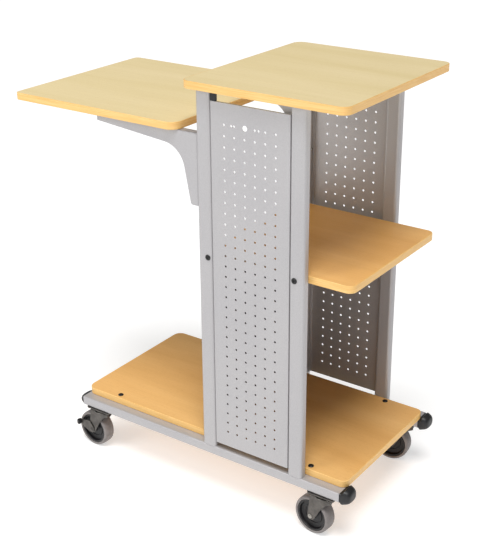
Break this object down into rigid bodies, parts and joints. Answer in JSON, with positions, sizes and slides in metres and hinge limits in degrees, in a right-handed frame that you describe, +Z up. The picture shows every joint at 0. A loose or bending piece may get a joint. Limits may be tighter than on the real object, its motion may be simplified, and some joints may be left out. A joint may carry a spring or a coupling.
{
  "type": "mobile lectern stand",
  "caption": "Mobile lectern stand: perforated steel column on a caster base with a raised top board, a lower side shelf, a middle shelf and a base board.",
  "frame": {"origin": "on the floor under the middle of the bounding box", "axes": "+Z up, +X from the side shelf towards the column, -Y the near side"},
  "size_m": [1.029, 0.508, 1.13],
  "materials": {
    "laminate": "pale beech-look laminate, satin",
    "edge_band": "wood-coloured edge band, satin",
    "silver_paint": "silver-grey powder coat, satin",
    "black_plastic": "moulded black, satin",
    "dark_steel": "plated pressed steel, satin",
    "bright_steel": "bright zinc plate",
    "black_steel": "black oxide, satin",
    "hub_plastic": "moulded near-black, satin",
    "grey_rubber": "grey soft tread, matte"
  },
  "bodies": {
    "stand": {"rail_near": "silver_paint", "rail_far": "silver_paint", "panel_near": "silver_paint", "panel_far": "silver_paint", "side_bracket_near": "silver_paint", "side_bracket_far": "silver_paint", "post_left_near": "silver_paint", "post_left_far": "silver_paint", "post_right_near": "silver_paint", "post_right_far": "silver_paint", "top_gusset_near": "silver_paint", "top_gusset_far": "silver_paint", "rail_cap_near_left": "black_plastic", "rail_cap_near_right": "black_plastic", "rail_cap_far_left": "black_plastic", "rail_cap_far_right": "black_plastic", "panel_catch_near": "black_plastic", "panel_catch_far": "black_plastic", "base_board": "laminate", "base_board_edge": "edge_band", "middle_shelf": "laminate", "middle_shelf_edge": "edge_band", "side_shelf": "laminate", "side_shelf_edge": "edge_band", "lectern_top": "laminate", "lectern_top_edge": "edge_band", "base_bolt_near_left": "black_steel", "base_bolt_near_right": "black_steel", "base_bolt_far_left": "black_steel", "base_bolt_far_right": "black_steel", "middle_shelf_screw_near_left": "black_steel", "middle_shelf_screw_near_right": "black_steel", "middle_shelf_screw_far_left": "black_steel", "middle_shelf_screw_far_right": "black_steel", "side_bracket_bolt_near": "bright_steel", "side_bracket_bolt_far": "bright_steel", "lower_side_panel": "black_steel", "caster_plate_near_left": "dark_steel", "caster_plate_near_right": "dark_steel", "caster_plate_far_left": "dark_steel", "caster_plate_far_right": "dark_steel"},
    "caster_near_left": {"caster_fork_near_left": "dark_steel", "caster_axle_near_left": "bright_steel"},
    "wheel_near_left": {"wheel_hub_near_left": "hub_plastic", "wheel_tyre_near_left": "grey_rubber"},
    "brake_near_left": {"brake_lever_near_left": "black_plastic"},
    "caster_near_right": {"caster_fork_near_right": "dark_steel", "caster_axle_near_right": "bright_steel"},
    "wheel_near_right": {"wheel_hub_near_right": "hub_plastic", "wheel_tyre_near_right": "grey_rubber"},
    "caster_far_left": {"caster_fork_far_left": "dark_steel", "caster_axle_far_left": "bright_steel"},
    "wheel_far_left": {"wheel_hub_far_left": "hub_plastic", "wheel_tyre_far_left": "grey_rubber"},
    "brake_far_left": {"brake_lever_far_left": "black_plastic"},
    "caster_far_right": {"caster_fork_far_right": "dark_steel", "caster_axle_far_right": "bright_steel"},
    "wheel_far_right": {"wheel_hub_far_right": "hub_plastic", "wheel_tyre_far_right": "grey_rubber"}
  },
  "joints": [
    {"name": "swivel_near_left", "type": "hinge", "parent": "stand", "child": "caster_near_left", "pos_m": [-0.3035, -0.21, 0.12], "axis": [0, 0, 1], "continuous": true},
    {"name": "spin_near_left", "type": "hinge", "parent": "caster_near_left", "child": "wheel_near_left", "pos_m": [-0.33446, -0.20838, 0.052], "axis": [0.0523, 0.9986, 0], "continuous": true},
    {"name": "press_near_left", "type": "hinge", "parent": "caster_near_left", "child": "brake_near_left", "pos_m": [-0.33446, -0.20838, 0.052], "axis": [0.0523, 0.9986, 0], "range_deg": [-14, 0]},
    {"name": "swivel_near_right", "type": "hinge", "parent": "stand", "child": "caster_near_right", "pos_m": [0.4325, -0.21, 0.12], "axis": [0, 0, 1], "continuous": true},
    {"name": "spin_near_right", "type": "hinge", "parent": "caster_near_right", "child": "wheel_near_right", "pos_m": [0.40167, -0.20676, 0.052], "axis": [0.1045, 0.9945, 0], "continuous": true},
    {"name": "swivel_far_left", "type": "hinge", "parent": "stand", "child": "caster_far_left", "pos_m": [-0.3035, 0.21, 0.12], "axis": [0, 0, 1], "continuous": true},
    {"name": "spin_far_left", "type": "hinge", "parent": "caster_far_left", "child": "wheel_far_left", "pos_m": [-0.33438, 0.2073, 0.052], "axis": [-0.0872, 0.9962, 0], "continuous": true},
    {"name": "press_far_left", "type": "hinge", "parent": "caster_far_left", "child": "brake_far_left", "pos_m": [-0.33438, 0.2073, 0.052], "axis": [-0.0872, 0.9962, 0], "range_deg": [-14, 0]},
    {"name": "swivel_far_right", "type": "hinge", "parent": "stand", "child": "caster_far_right", "pos_m": [0.4325, 0.21, 0.12], "axis": [0, 0, 1], "continuous": true},
    {"name": "spin_far_right", "type": "hinge", "parent": "caster_far_right", "child": "wheel_far_right", "pos_m": [0.40176, 0.20601, 0.052], "axis": [-0.1288, 0.9917, 0], "continuous": true}
  ]
}
